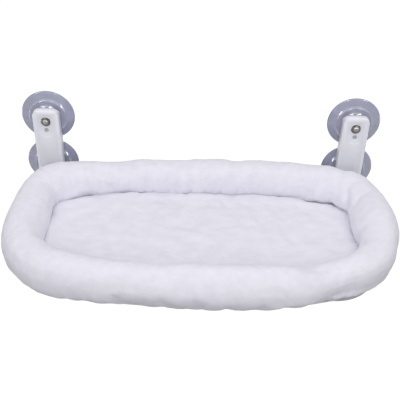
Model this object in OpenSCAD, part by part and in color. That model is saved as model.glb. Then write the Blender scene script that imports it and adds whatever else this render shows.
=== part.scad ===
// Cat perch that hangs from a window on four suction cups.
// Two uprights carry a hinged tube frame with a fabric sling, and a stuffed bed lies on it.
// X runs along the window, Y points at the window, Z points up, and the origin is on the glass
// in the middle of the four cups. A depth is a distance from the glass into the room.

/* [Uprights] */
// Distance between the two uprights, centre to centre
upright_spacing = 492; // [420:2:560]
// Width of an upright
upright_w = 41; // [38:0.5:44]
// Thickness of an upright's front wall
front_wall = 3.5; // [2.5:0.5:5]
// Thickness of an upright's side walls and ribs
side_wall = 3; // [2:0.5:3.5]
// Height of an upright's top above its upper stud
upright_top = 19.5; // [18.5:0.5:28]
// Radius of the two top corners
top_corner_r = 10.5; // [7:0.5:14]
// Height of the pads that stand on the cups' bosses
pad_stand = 3.5; // [3:0.5:5]
// Gap between the side walls' rear edges and the glass
rear_gap = 4.5; // [3:0.5:7]
// Depth of the rear edge of an upright's top
top_back = 15; // [9:0.5:16]
// Width of the slope along the front edges
bevel_w = 5; // [2:0.5:6]
// Depth of the slope along the front edges
bevel_depth = 1.6; // [0.5:0.1:2]
// Width of the sunk oval round the upper nut
oval_w = 25; // [23:0.5:27]
// Length of the sunk oval below the upper nut
oval_drop = 27; // [24:0.5:30]
// Depth of the sunk oval
oval_depth = 0.8; // [0.3:0.1:1]
// Room round a washer and a nut in their sunk round seat
seat_room = 0.3; // [0.2:0.1:0.6]
// Depth of the round seat under a washer
seat_depth = 4; // [3:0.2:4.2]
// Diameter of the small blind hole below the upper nut
blind_d = 7; // [4:0.5:7.5]
// Distance of the small blind hole below the upper nut
blind_drop = 14.5; // [14:0.5:18]

/* [Suction cups] */
// Outside diameter of a cup
cup_d = 85; // [80:1:100]
// Gap between the upper and the lower cup
cup_gap = 1.3; // [1:0.1:10]
// Diameter of the front of a cup's boss
boss_d = 31; // [29:0.5:33]
// Depth of a boss's front face
boss_depth = 18; // [16:0.5:20]
// Depth at which the skirt curves up into the boss
skirt_depth = 8; // [7:0.5:10]
// Thickness of the lip at a cup's edge
lip_t = 1.2; // [0.8:0.1:2]
// Width of the flat sealing ring
seal_w = 4; // [3:0.5:6]
// Depth of the hollow under a cup
dish_depth = 4.5; // [3:0.5:5]

/* [Fasteners] */
// Diameter of the studs and the hinge bolts
bolt_d = 8; // [6:0.5:9]
// Diameter of the head moulded into a cup
stud_head_d = 24; // [18:0.5:26]
// Thickness of the head moulded into a cup
stud_head_t = 3; // [2:0.5:4]
// Length of thread that stands out of a nut
stud_out = 1; // [0.5:0.1:3]
// Width of a nut across its flats
nut_flats = 13; // [12:0.5:14]
// Height of a nut
nut_h = 4; // [4:0.5:6.5]
// Diameter of a washer
washer_d = 15; // [14:0.5:16]
// Thickness of a washer
washer_t = 1.6; // [1:0.1:2]
// Diameter of the small tube screws
screw_d = 4; // [3:0.5:4.5]

/* [Hinges] */
// Distance of the hinge line below the lower studs
hinge_drop = 33; // [31:0.5:40]
// Distance of the hinge line in front of the uprights
hinge_ahead = 13; // [12:0.5:18]
// Radius of a cheek round the hinge line
cheek_r = 15; // [14:0.5:18]
// Thickness of a cheek
cheek_t = 4; // [3.5:0.5:5]
// Thickness of a friction washer
friction_t = 1.4; // [1:0.1:2]
// Radius of an arm's hub
hub_r = 13; // [12:0.5:14]
// Distance from the hinge line to an arm's mouth
arm_reach = 82; // [75:1:100]
// Height of an arm above its tube's axis
arm_up = 10.2; // [9.7:0.1:10.4]
// Depth of an arm below its tube's axis
arm_down = 11.5; // [10.5:0.5:14]
// Diameter of a hand knob over its lobes
knob_d = 34; // [30:1:38]
// Height of a hand knob's grip
knob_grip = 11; // [9:0.5:16]
// Number of lobes on a hand knob
knob_lobes = 5; // [4:1:7]

/* [Tube frame] */
// Outside diameter of the tubes
tube_d = 16; // [15:0.5:16.5]
// Wall of the tubes
tube_wall = 1.2; // [1:0.1:1.5]
// Distance from the hinge line to the front tube's axis
frame_reach = 242; // [220:2:290]
// Bend radius of the front corners
frame_bend = 55; // [50:1:100]
// Length of side tube held inside an arm
tube_grip = 35; // [25:1:40]
// Distance from the hinge line to the rear tube's axis
rear_tube_ahead = 34; // [30:0.5:36]
// Length of the ferrule that joins the tube halves
ferrule_l = 60; // [40:1:90]

/* [Sling] */
// Thickness of the sling's cloth
cloth_t = 1.2; // [0.8:0.1:1.6]
// Distance from the rear tube's axis to the zip
zip_ahead = 40; // [34:1:50]
// Length of the slit that the zip closes
zip_l = 380; // [300:5:400]
// Width of the slit that the zip closes
slit_w = 11; // [10.5:0.5:14]
// Width of one zip tape
tape_w = 12; // [9:0.5:15]
// Thickness of a zip tape
tape_t = 0.6; // [0.4:0.1:0.8]
// Length of the zip's pull
pull_l = 24; // [18:1:32]
// Length of a hook or loop strip
strip_l = 100; // [60:5:130]
// Width of a hook or loop strip
strip_w = 20; // [15:1:25]
// Thickness of a hook or loop strip
strip_t = 0.8; // [0.6:0.1:1.2]

/* [Bed] */
// Thickness of the bed's bottom cloth
base_t = 1.5; // [1:0.1:2]
// Width of the stuffed rim
rim_w = 54.8; // [45:0.2:60]
// Height of the stuffed rim before it settles
rim_h = 65.4; // [56:0.2:75]
// How much wider the rim is towards the inside at its two ends
rim_swell = 9; // [0:0.5:14]
// How far the rim's underside is pressed flat
rim_sink = 3.2; // [2:0.1:5]
// Rim's centreline beyond the side tubes' axes
rim_side = 11.5; // [0:0.5:20]
// Rim's centreline in front of the hinge line
rim_back = 22.5; // [18:0.5:30]
// Rim's centreline beyond the front tube's axis
rim_front = 33.5; // [10:0.5:38]
// How far the bed lies to the right of the frame's middle
bed_aside = 3.5; // [0:0.5:6]
// Squareness of the rim's rear corners
rear_square = 4.1; // [2.2:0.1:4.6]
// Squareness of the rim's front corners
front_square = 2.8; // [2.2:0.1:3.4]
// Thickness of the plush and its pile
plush_t = 3; // [2.5:0.1:4]
// Depth of the gathers sewn into the rear of the rim
gather = 0.8; // [0:0.1:1.2]
// Depth of the closing seam in the rim's right rear
seam_depth = 2.5; // [0:0.1:3]
// Height of the pad's side
pad_h = 16; // [12:0.5:22]
// Rise of the pad's crown above its side
pad_crown = 5; // [2:0.5:9]
// Gap between the pad and the rim
pad_gap = 0.4; // [0.3:0.1:3]

/* [Hidden] */

$fn = 64;
// Overrun of a cut past the face that it leaves
over = 1;
// Radial room between a round piece and the bore that it stays in
bore_play = 0.05;
// Room between two faces that slide on each other
slide_play = 0.1;
// Room round a bolt in its hole
bolt_room = 0.2;

cup_r = cup_d / 2;
boss_r = boss_d / 2;
// Radius of the hollow curve from a skirt to the front of its boss
root_r = boss_depth - skirt_depth;
bolt_r = bolt_d / 2;
tube_r = tube_d / 2;
screw_r = screw_d / 2;
side_x = upright_spacing / 2;
stud_z = (cup_d + cup_gap) / 2;

// Depth at which a stud's head sits in its cup
stud_head_depth = boss_depth / 2;

// Depths through an upright
wall_back = boss_depth + pad_stand;
front_depth = wall_back + front_wall;
top_z = stud_z + upright_top;
// Depths of a washer's seat, a nut's seat and a stud's end
seat_front = front_depth - oval_depth - seat_depth;
nut_r = nut_flats / 2 / cos(30);
seat_r = max(washer_d / 2, nut_r) + seat_room;
nut_start = seat_front + washer_t;
stud_end = nut_start + nut_h + stud_out;
// Gap kept between an upright and a cup
cup_room = 1;
// Radius of the pads that stand on the bosses
pad_r = 11;
rib_t = 2;
rib_depth = 9;
// Part of the front wall's thickness that the blind hole takes
blind_share = 0.75;
blind_depth = blind_share * front_wall;
// Height of the two ribs above and below the middle
rib_z = 12;

// The hinge line
hinge_y = -(front_depth + hinge_ahead);
hinge_z = -(stud_z + hinge_drop);
cheek_gap = upright_w - 2 * cheek_t;
hub_w = cheek_gap - 2 * (friction_t + slide_play);
// The front wall ends just above the hubs
foot_room = 3;
wall_foot = hinge_z + hub_r + foot_room;
// Height of a cheek's root above the front wall's foot, and size of its rear corner
cheek_rise = 15;
cheek_top = wall_foot + cheek_rise;
cheek_rear = 12;
friction_r = 12;
heel_t = 6;
heel_h = 6;
heel_side = 0.5;
stop_play = 0.2;

// Bolt, washer and knob along the hinge line, from the middle of an upright outwards
cheek_out = upright_w / 2;
knob_washer_d = 20;
knob_start = cheek_out + washer_t + bore_play;
knob_collar_h = 5;
knob_collar_r = 10;
insert_l = 12;
insert_r = 6.5;
knob_end = knob_start + knob_collar_h + knob_grip;
knob_cap = 2;
bolt_end = knob_end - knob_cap - over;
bolt_head_r = 9.5;
bolt_head_h = 4;
lobe_share = 0.28;
// Part of the way from one lobe to the next that the first lobe is turned
lobe_turn_share = 0.25;

// Tube frame, with its axes at the height of the hinge line
front_y = hinge_y - frame_reach;
rear_y = hinge_y - rear_tube_ahead;
mouth_y = hinge_y - arm_reach;
grip_y = mouth_y + tube_grip;
bore_in = tube_r - tube_wall;
socket_depth = 10;
arm_inner_x = side_x - hub_w / 2;
screw_head_r = 4.2;
screw_head_h = 2.2;
ferrule_wall = 1.5;

// Sling
sleeve_play = 0.2;
sleeve_in = tube_r + sleeve_play;
sleeve_out = sleeve_in + cloth_t;
sling_top = hinge_z + sleeve_out;
sling_low = sling_top - cloth_t;
// Where the flat panel meets the round sleeves, measured from a tube's axis
sleeve_edge = sqrt(sleeve_out * sleeve_out - sleeve_in * sleeve_in) + bore_play;
arm_clear = 2;
sleeve_x = arm_inner_x - arm_clear;
sleeve_mouth = mouth_y - arm_clear;
zip_y = rear_y - zip_ahead;

// Zip
tooth_pitch = 4;
tooth_gap = 1;
// Part of the pitch that a tooth is wide
tooth_share = 0.6;
chain_w = 5.4;
chain_t = 1.4;
chain_drop = 1.1;
chain_low = sling_low - chain_drop;
slider_l = 9;
slider_w = 8.6;
wing_t = 0.8;
wing_play = 0.25;
post_w = 0.5;
post_l = 2;
slider_x = zip_l / 2 - slider_l;
wing_low = chain_low - wing_play - wing_t;
ear_t = 1.2;
ear_gap = 4;
pin_r = 0.8;
pin_drop = 2.4;
eye_r = 1.9;
pull_w = 7;
pull_t = 1.6;

// Strips between the sling and the bed
strip_share = 0.58;
strip_x = side_x * strip_share;
// Distance of the rear and the front row from the zip and the front tube, in strip widths
strip_row_shares = [1.8, 2];
strip_rows = [
    zip_y - tape_w - strip_row_shares[0] * strip_w,
    front_y + strip_row_shares[1] * strip_w
];

// Bed
base_low = sling_top + 2 * strip_t;
bed_z = base_low + base_t;
rim_z = bed_z + rim_h / 2 - rim_sink;
rim_a = side_x + rim_side;
rim_rear_y = hinge_y - rim_back;
rim_front_y = front_y - rim_front;
bed_y = (rim_rear_y + rim_front_y) / 2;
rim_b = (rim_rear_y - rim_front_y) / 2;
base_beyond = 8;
rim_rings = 68;
rim_sides = 12;
fill_rings = 48;
fill_sides = 8;
seam_angle = 26;
pad_steps = 60;
turn_step = 1;
// How fast the swelling of the rim's ends fades away from them
swell_fade = 12;
// Outline of the pad from its foot up: share of its plan, share of its height
pad_shares = [[0.975, 0], [1, 0.4], [0.992, 0.74], [0.962, 0.94], [0.9, 1]];
crown_shares = [0.72, 0.42];

// Common shapes

// Places a piece drawn about an upright's middle, with +X outwards, on one side
module at_side(side) {
    translate([side * side_x, 0, 0])
        if (side < 0) mirror([1, 0, 0]) children();
        else children();
}

// Extrudes a front view between two depths
module slab(near, far) {
    translate([0, -near, 0]) rotate([90, 0, 0]) linear_extrude(far - near) children();
}

// Extrudes a side view, drawn in Y and Z, from one X to another
module plate(from, to) {
    translate([from, 0, 0]) rotate([90, 0, 90]) linear_extrude(to - from) children();
}

// Round bar along X
module bar_x(r, from, to, y, z) {
    translate([from, y, z]) rotate([0, 90, 0]) cylinder(r = r, h = to - from);
}

// Round bar along Y
module bar_y(r, from, to, x, z) {
    translate([x, from, z]) rotate([-90, 0, 0]) cylinder(r = r, h = to - from);
}

// Round bar along Z
module bar_z(r, from, to, x, y) {
    translate([x, y, from]) cylinder(r = r, h = to - from);
}

// Uprights

module upright_front(inset, low) {
    half = upright_w / 2 - inset;
    r = top_corner_r - inset;
    high = top_z - inset;
    translate([-half, low]) square([2 * half, high - r - low]);
    translate([r - half, low]) square([2 * (half - r), high - low]);
    for (s = [-1, 1]) translate([s * (half - r), high - r]) circle(r = r);
}

// Channel with sloped front edges and a sloped top edge
module upright_shell() {
    half = upright_w / 2;
    difference() {
        intersection() {
            slab(rear_gap, front_depth) upright_front(0, wall_foot);
            translate([0, 0, wall_foot]) linear_extrude(top_z - wall_foot) polygon([
                [-half, -rear_gap], [-half, bevel_depth - front_depth],
                [bevel_w - half, -front_depth], [half - bevel_w, -front_depth],
                [half, bevel_depth - front_depth], [half, -rear_gap]
            ]);
            plate(-half, half) polygon([
                [-rear_gap, wall_foot], [-front_depth, wall_foot], [-front_depth, top_z - bevel_w],
                [bevel_depth - front_depth, top_z], [-top_back, top_z], [-rear_gap, stud_z]
            ]);
        }
        slab(0, wall_back) upright_front(side_wall, wall_foot - over);
    }
}

// Side view of a cheek: the upright's foot and a round end about the hinge line
module cheek_side() {
    away = [hinge_y + front_depth, hinge_z - cheek_top];
    tangent = atan2(-away[1], -away[0]) + acos(cheek_r / norm(away));
    polygon([
        [-front_depth, cheek_top], [-rear_gap, cheek_top],
        [-rear_gap, hinge_z - cheek_r + cheek_rear], [-rear_gap - cheek_rear, hinge_z - cheek_r],
        [hinge_y, hinge_z - cheek_r], [hinge_y, hinge_z],
        [hinge_y + cheek_r * cos(tangent), hinge_z + cheek_r * sin(tangent)]
    ]);
    translate([hinge_y, hinge_z]) circle(r = cheek_r);
}

// Space that the two cups of an upright take, with room round it
module cup_space() {
    for (z = [-stud_z, stud_z]) translate([0, 0, z]) rotate([90, 0, 0]) rotate_extrude()
        polygon(concat(
            [[0, -over], [cup_r + cup_room, -over]],
            [for (p = cup_side()) p + [cup_room, cup_room]],
            [[0, boss_depth + cup_room]]
        ));
}

module upright() {
    pad_len = wall_back - boss_depth;
    color([0.93, 0.93, 0.95]) difference() {
        union() {
            difference() {
                union() {
                    upright_shell();
                    for (x = [-cheek_out, cheek_out - cheek_t]) plate(x, x + cheek_t) cheek_side();
                    for (z = [-rib_z, rib_z])
                        translate([-cheek_out, -wall_back, z - rib_t / 2])
                            cube([upright_w, wall_back - rib_depth, rib_t]);
                }
                cup_space();
            }
            for (z = [-stud_z, stud_z]) bar_y(pad_r, -wall_back, -wall_back + pad_len, 0, z);
        }
        for (z = [-stud_z, stud_z]) bar_y(bolt_r + bolt_room, -front_depth - over, 0, 0, z);
        bar_y(seat_r, -front_depth - over, oval_depth + seat_depth - front_depth, 0, stud_z);
        bar_y(seat_r, -front_depth - over, oval_depth + seat_depth - front_depth, 0, -stud_z);
        slab(front_depth - oval_depth, front_depth + over) oval();
        bar_y(blind_d / 2, -front_depth - over, blind_depth - front_depth, 0, stud_z - blind_drop);
        bar_x(bolt_r + bolt_room, 0, upright_w, hinge_y, hinge_z);
        translate([-bolt_r - cheek_out, hinge_y - bolt_r, hinge_z - bolt_r])
            cube([cheek_out, bolt_d, bolt_d]);
    }
}

// Front view of the sunk oval round the upper nut and the blind hole
module oval() {
    r = oval_w / 2;
    low = stud_z - oval_drop + r;
    translate([-r, low]) square([oval_w, stud_z - low]);
    for (z = [low, stud_z]) translate([0, z]) circle(r = r);
}

// Suction cups

// Point on the skirt's outside, from the lip (0) to the boss's root (1): radius, depth
function skirt_point(share) = [
    cup_r + (boss_r + root_r - cup_r) * share,
    lip_t + (skirt_depth - lip_t) * sin(90 * share)
];

// Outside of a cup, from its lip over its skirt and up the hollow curve of its boss
function cup_side() = concat(
    [for (s = [0 : 0.125 : 0.875]) skirt_point(s)],
    [for (a = [0 : 15 : 75]) [boss_r + root_r * (1 - sin(a)), boss_depth - root_r * cos(a)]]
);

// Point on the hollow under a cup, from the sealing ring (0) to the middle (1)
function dish_point(share) = [(cup_r - seal_w) * (1 - share), dish_depth * sin(90 * share)];

module cup() {
    edge = boss_r / 16;
    color([0.72, 0.73, 0.8, 0.7]) rotate([90, 0, 0]) difference() {
        rotate_extrude() polygon(concat(
            [[cup_r, 0]],
            cup_side(),
            [[boss_r, boss_depth - edge], [boss_r - edge, boss_depth]],
            [[0, boss_depth]],
            [for (s = [1 : -0.125 : 0]) dish_point(s)]
        ));
        translate([0, 0, stud_head_depth]) cylinder(r = stud_head_d / 2 + bore_play, h = stud_head_t);
        translate([0, 0, stud_head_depth]) cylinder(r = bolt_r + bore_play, h = boss_depth);
    }
}

module cup_at(side, level) at_side(side) translate([0, 0, level * stud_z]) cup();

// Studs, washers and nuts

module stud_at(side, level) {
    tip = bolt_r / 5;
    color("silver") at_side(side) translate([0, 0, level * stud_z]) rotate([90, 0, 0]) {
        translate([0, 0, stud_head_depth]) cylinder(r = stud_head_d / 2, h = stud_head_t);
        translate([0, 0, stud_head_depth]) cylinder(r = bolt_r, h = stud_end - tip - stud_head_depth);
        translate([0, 0, stud_end - tip]) cylinder(r1 = bolt_r, r2 = bolt_r - tip, h = tip);
    }
}

module washer_at(side, level) {
    color("silver") at_side(side) translate([0, 0, level * stud_z]) difference() {
        bar_y(washer_d / 2, -nut_start, -seat_front, 0, 0);
        bar_y(bolt_r + bolt_room, -nut_start - over, 0, 0, 0);
    }
}

module nut_at(side, level) {
    crown = nut_h / 7;
    color("silver") at_side(side) translate([0, 0, level * stud_z]) difference() {
        intersection() {
            translate([0, -nut_start, 0]) rotate([90, 30, 0]) cylinder(r = nut_r, h = nut_h, $fn = 6);
            translate([0, -nut_start, 0]) rotate([90, 0, 0]) rotate_extrude() polygon([
                [0, 0], [nut_r, 0], [nut_r, nut_h - crown], [nut_flats / 2, nut_h], [0, nut_h]
            ]);
        }
        bar_y(bolt_r + bore_play, -stud_end - over, 0, 0, 0);
    }
}

// Hinge hardware

module hinge_bolt(side) {
    head_sphere = (bolt_head_r * bolt_head_r + bolt_head_h * bolt_head_h) / (2 * bolt_head_h);
    color("silver") at_side(side) translate([0, hinge_y, hinge_z]) {
        bar_x(bolt_r, -cheek_out, bolt_end, 0, 0);
        translate([-cheek_out, -bolt_r, -bolt_r]) cube([cheek_t, bolt_d, bolt_d]);
        intersection() {
            translate([head_sphere - cheek_out - bolt_head_h, 0, 0]) sphere(r = head_sphere);
            bar_x(bolt_head_r, -cheek_out - bolt_head_h, -cheek_out, 0, 0);
        }
    }
}

module friction_washers(side) {
    color("dimgray") at_side(side) for (x = [-cheek_gap / 2, cheek_gap / 2 - friction_t])
        difference() {
            bar_x(friction_r, x, x + friction_t, hinge_y, hinge_z);
            bar_x(bolt_r + bore_play, x - over, x + friction_t + over, hinge_y, hinge_z);
        }
}

module knob_washer(side) {
    color("silver") at_side(side) difference() {
        bar_x(knob_washer_d / 2, cheek_out, cheek_out + washer_t, hinge_y, hinge_z);
        bar_x(bolt_r + bolt_room, cheek_out - over, cheek_out + washer_t + over, hinge_y, hinge_z);
    }
}

module knob(side) {
    lobe_r = knob_d / 2 * lobe_share;
    core_r = knob_d / 2 - lobe_r;
    grip_start = knob_start + knob_collar_h;
    color([0.3, 0.3, 0.33]) at_side(side) translate([0, hinge_y, hinge_z]) difference() {
        union() {
            bar_x(knob_collar_r, knob_start, grip_start, 0, 0);
            plate(grip_start, knob_end) {
                circle(r = core_r);
                for (i = [0 : knob_lobes - 1]) rotate((i + lobe_turn_share) * 360 / knob_lobes)
                    translate([core_r, 0]) circle(r = lobe_r);
            }
        }
        bar_x(insert_r, knob_start - over, knob_start + insert_l, 0, 0);
        bar_x(bolt_r + bolt_room, knob_start + insert_l - over, knob_end - knob_cap, 0, 0);
    }
}

module knob_insert(side) {
    color("goldenrod") at_side(side) translate([0, hinge_y, hinge_z]) difference() {
        bar_x(insert_r, knob_start, knob_start + insert_l, 0, 0);
        bar_x(bolt_r + bore_play, knob_start - over, knob_start + insert_l + over, 0, 0);
    }
}

// Tube frame

// Hub, block and stop heel of one arm, with the sockets of its two tubes
module arm(side) {
    half = hub_w / 2;
    heel_y = -front_depth - stop_play;
    color([0.88, 0.88, 0.9]) at_side(side) difference() {
        union() {
            bar_x(hub_r, -half, half, hinge_y, hinge_z);
            translate([-half, mouth_y, hinge_z - arm_down])
                cube([hub_w, hinge_y - mouth_y, arm_up + arm_down]);
            translate([heel_side - half, heel_y - heel_t, hinge_z])
                cube([hub_w - 2 * heel_side, heel_t, wall_foot + heel_h - hinge_z]);
        }
        bar_x(bolt_r + bore_play, -half - over, half + over, hinge_y, hinge_z);
        bar_y(tube_r + bore_play, mouth_y - over, grip_y, 0, hinge_z);
        bar_x(tube_r + bore_play, -half - over, socket_depth - half, rear_y, hinge_z);
        for (p = screw_points()) bar_z(screw_r + bore_play, hinge_z - arm_down - over, hinge_z, p[0], p[1]);
    }
}

// Screws of one arm, about its upright's middle: side tube, rear tube
function screw_points() = [
    [0, (mouth_y + grip_y) / 2],
    [socket_depth / 2 - hub_w / 2, rear_y]
];

module tube_screws() {
    color("silver") for (side = [-1, 1]) at_side(side) for (p = screw_points()) {
        bar_z(screw_r, hinge_z - arm_down - over, hinge_z - bore_in + over, p[0], p[1]);
        bar_z(screw_head_r, hinge_z - arm_down - screw_head_h, hinge_z - arm_down, p[0], p[1]);
    }
}

// Round bar that follows half of the U, from the middle of the front to a given Y
module u_half(r, side, end_y) {
    bend_x = side_x - frame_bend;
    bend_y = front_y + frame_bend;
    x0 = min(0, side * bend_x);
    bar_x(r, x0, x0 + bend_x, front_y, hinge_z);
    bar_y(r, bend_y, end_y, side * side_x, hinge_z);
    translate([side * bend_x, bend_y, hinge_z]) rotate([0, 0, side > 0 ? 270 : 180])
        rotate_extrude(angle = 90) translate([frame_bend, 0]) circle(r = r);
}

module side_tube(side) {
    color("dimgray") difference() {
        u_half(tube_r, side, grip_y);
        u_half(bore_in, side, grip_y + over);
        translate([side * side_x, 0, 0])
            bar_z(screw_r + bore_play, hinge_z - tube_d, hinge_z, 0, screw_points()[0][1]);
    }
}

module front_ferrule() {
    color("silver") difference() {
        bar_x(bore_in - bore_play, -ferrule_l / 2, ferrule_l / 2, front_y, hinge_z);
        bar_x(bore_in - ferrule_wall, -ferrule_l, ferrule_l, front_y, hinge_z);
    }
}

module rear_tube() {
    end_x = arm_inner_x + socket_depth;
    color("dimgray") difference() {
        bar_x(tube_r, -end_x, end_x, rear_y, hinge_z);
        bar_x(bore_in, -end_x - over, end_x + over, rear_y, hinge_z);
        for (side = [-1, 1]) translate([side * side_x, 0, 0])
            bar_z(screw_r + bore_play, hinge_z - tube_d, hinge_z, side * screw_points()[1][0], rear_y);
    }
}

// Sling

module sling_panel() {
    bend_x = side_x - frame_bend;
    bend_y = front_y + frame_bend;
    edge_x = side_x - sleeve_edge;
    color([0.8, 0.8, 0.84]) translate([0, 0, sling_low]) linear_extrude(cloth_t) difference() {
        union() {
            translate([-edge_x, bend_y]) square([2 * edge_x, sleeve_mouth - bend_y]);
            translate([-bend_x, front_y + sleeve_edge]) square([2 * bend_x, frame_bend - sleeve_edge]);
            for (side = [-1, 1]) translate([side * bend_x, bend_y]) circle(r = frame_bend - sleeve_edge);
            translate([-sleeve_x, sleeve_mouth])
                square([2 * sleeve_x, rear_y - sleeve_edge - sleeve_mouth]);
        }
        translate([-zip_l / 2, zip_y - slit_w / 2]) square([zip_l, slit_w]);
    }
}

module sling_side_sleeve() {
    color([0.8, 0.8, 0.84]) difference() {
        for (side = [-1, 1]) u_half(sleeve_out, side, sleeve_mouth);
        for (side = [-1, 1]) u_half(sleeve_in, side, sleeve_mouth + over);
    }
}

module sling_rear_sleeve() {
    color([0.8, 0.8, 0.84]) difference() {
        bar_x(sleeve_out, -sleeve_x, sleeve_x, rear_y, hinge_z);
        bar_x(sleeve_in, -side_x, side_x, rear_y, hinge_z);
    }
}

// Zip in the slit near the sling's rear edge

module zip_tapes() {
    color("gainsboro") for (s = [-1, 1])
        translate([-zip_l / 2, zip_y + s * (chain_w + tape_w) / 2 - tape_w / 2, sling_low - tape_t])
            cube([zip_l, tape_w, tape_t]);
}

// Two rows of teeth on their cords
module zip_teeth() {
    row_w = (chain_w - tooth_gap) / 2;
    teeth = floor(zip_l / tooth_pitch);
    color("white") for (s = [-1, 1]) translate([0, zip_y, chain_low]) linear_extrude(chain_t)
        scale([1, s]) polygon(concat(
            [[zip_l / 2, chain_w / 2], [-zip_l / 2, chain_w / 2]],
            [for (i = [0 : teeth - 1]) each [
                [i * tooth_pitch - zip_l / 2, tooth_gap / 2],
                [(i + tooth_share) * tooth_pitch - zip_l / 2, tooth_gap / 2],
                [(i + tooth_share) * tooth_pitch - zip_l / 2, tooth_gap / 2 + row_w / 2],
                [(i + 1) * tooth_pitch - zip_l / 2, tooth_gap / 2 + row_w / 2]
            ]]
        ));
}

module zip_slider() {
    upper = chain_low + chain_t + wing_play;
    pin_z = wing_low - pin_drop;
    color("silver") translate([slider_x, zip_y, 0]) {
        for (z = [wing_low, upper]) translate([-slider_l / 2, -slider_w / 2, z])
            cube([slider_l, slider_w, wing_t]);
        translate([-post_l / 2, -post_w / 2, wing_low]) cube([post_l, post_w, upper - wing_low]);
        for (y = [-ear_gap / 2 - ear_t, ear_gap / 2]) {
            bar_y(eye_r, y, y + ear_t, 0, pin_z);
            translate([-eye_r, y, pin_z]) cube([2 * eye_r, ear_t, pin_drop]);
        }
        bar_y(pin_r, -ear_gap / 2 - ear_t, ear_gap / 2 + ear_t, 0, pin_z);
    }
}

module zip_pull() {
    pin_z = wing_low - pin_drop;
    color("silver") translate([slider_x, zip_y, pin_z]) difference() {
        union() {
            bar_y(eye_r, slide_play - ear_gap / 2, ear_gap / 2 - slide_play, 0, 0);
            translate([-pull_t / 2, slide_play - ear_gap / 2, -2 * eye_r])
                cube([pull_t, ear_gap - 2 * slide_play, 2 * eye_r]);
            translate([-pull_t / 2, -pull_w / 2, -pull_l])
                cube([pull_t, pull_w, pull_l - 2 * eye_r]);
        }
        bar_y(pin_r + bore_play, -ear_gap, ear_gap, 0, 0);
    }
}

// Hook strips on the sling and loop strips on the bed

module strips(low) {
    for (x = [-strip_x, strip_x]) for (y = strip_rows)
        translate([x - strip_l / 2, y - strip_w / 2, low]) cube([strip_l, strip_w, strip_t]);
}

module hook_strips() color("gray") strips(sling_top);
module loop_strips() color("lightgray") strips(sling_top + strip_t);

// Bed

// Point of the rim's centreline in a given direction from the bed's middle
function rim_reach(turn) =
    let (n = sin(turn) > 0 ? rear_square : front_square)
    pow(pow(abs(cos(turn)) / rim_a, n) + pow(abs(sin(turn)) / rim_b, n), -1 / n);
function rim_point(turn) = rim_reach(turn) * [cos(turn), sin(turn)];
// Outward normal of the centreline there
function rim_normal(turn) =
    let (d = rim_point(turn + turn_step) - rim_point(turn - turn_step))
    [d[1], -d[0]] / norm(d);
// Plan of the bed at a distance outside the centreline
function plan_point(turn, outside) = rim_point(turn) + outside * rim_normal(turn);

// Width of the rim from its centreline to its inside
function rim_inside(turn) = rim_w / 2 + rim_swell * pow(abs(cos(turn)), swell_fade);

// How far the cloth is drawn in at a ring by the gathers and the closing seam
function drawn_in(turn, ring) =
    (sin(turn) > 0.5 ? gather * (ring % 2) : 0)
    + (abs(turn - seam_angle) < 180 / rim_rings ? seam_depth : 0);

// Ring that a stuffed rim fills, inset from its outside, pressed flat underneath
module stuffed_rim(inset, rings, sides, sewn) {
    low = bed_z + inset;
    points = [for (i = [0 : rings - 1], j = [0 : sides - 1])
        let (turn = i * 360 / rings, up = (j + 0.5) * 360 / sides)
        let (draw = inset + sewn * drawn_in(turn, i))
        let (wide = cos(up) < 0 ? rim_inside(turn) : rim_w / 2)
        let (p = plan_point(turn, (wide - draw) * cos(up)))
        [p[0] + bed_aside, p[1] + bed_y, max(low, rim_z + (rim_h / 2 - draw) * sin(up))]];
    faces = [for (i = [0 : rings - 1], j = [0 : sides - 1])
        let (i2 = (i + 1) % rings, j2 = (j + 1) % sides)
        let (a = i * sides + j, b = i2 * sides + j, c = i2 * sides + j2, d = i * sides + j2)
        each [[a, c, b], [a, d, c]]];
    polyhedron(points, faces);
}

// Crowned pad with drawn-in sides, inset from its outside
module crowned_pad(inset) {
    low = bed_z + inset;
    tall = pad_h - inset;
    side_rings = [for (s = pad_shares) [s[0], low + s[1] * (tall - inset)]];
    crown_rings = [for (s = crown_shares) [s, bed_z + tall + pad_crown * (1 - s * s)]];
    rings = concat(side_rings, crown_rings);
    n = pad_steps;
    m = len(rings);
    points = concat(
        [for (r = rings, i = [0 : n - 1])
            let (turn = i * 360 / n, outside = -rim_inside(turn) - pad_gap - inset)
            let (p = plan_point(turn, outside) * r[0]) [p[0] + bed_aside, p[1] + bed_y, r[1]]],
        [[bed_aside, bed_y, bed_z + tall + pad_crown], [bed_aside, bed_y, low]]
    );
    faces = concat(
        [for (k = [0 : m - 2], i = [0 : n - 1])
            let (i2 = (i + 1) % n)
            let (a = k * n + i, b = k * n + i2)
            each [[a, b + n, b], [a, a + n, b + n]]],
        [for (i = [0 : n - 1]) [(m - 1) * n + i, m * n, (m - 1) * n + (i + 1) % n]],
        [for (i = [0 : n - 1]) [i, (i + 1) % n, m * n + 1]]
    );
    polyhedron(points, faces);
}

module bed_base() {
    color([0.9, 0.9, 0.93]) translate([bed_aside, bed_y, base_low]) linear_extrude(base_t)
        polygon([for (i = [0 : rim_rings - 1]) plan_point(i * 360 / rim_rings, base_beyond)]);
}

module pad_cover() {
    color([0.96, 0.96, 0.98]) difference() {
        crowned_pad(0);
        crowned_pad(plush_t);
    }
}

module pad_filling() color("ivory") crowned_pad(plush_t);

module rim_cover() {
    color([0.97, 0.97, 0.99]) difference() {
        stuffed_rim(0, rim_rings, rim_sides, 1);
        stuffed_rim(plush_t + seam_depth, fill_rings, fill_sides, 0);
    }
}

module rim_filling() color("ivory") stuffed_rim(plush_t + seam_depth, fill_rings, fill_sides, 0);

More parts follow.
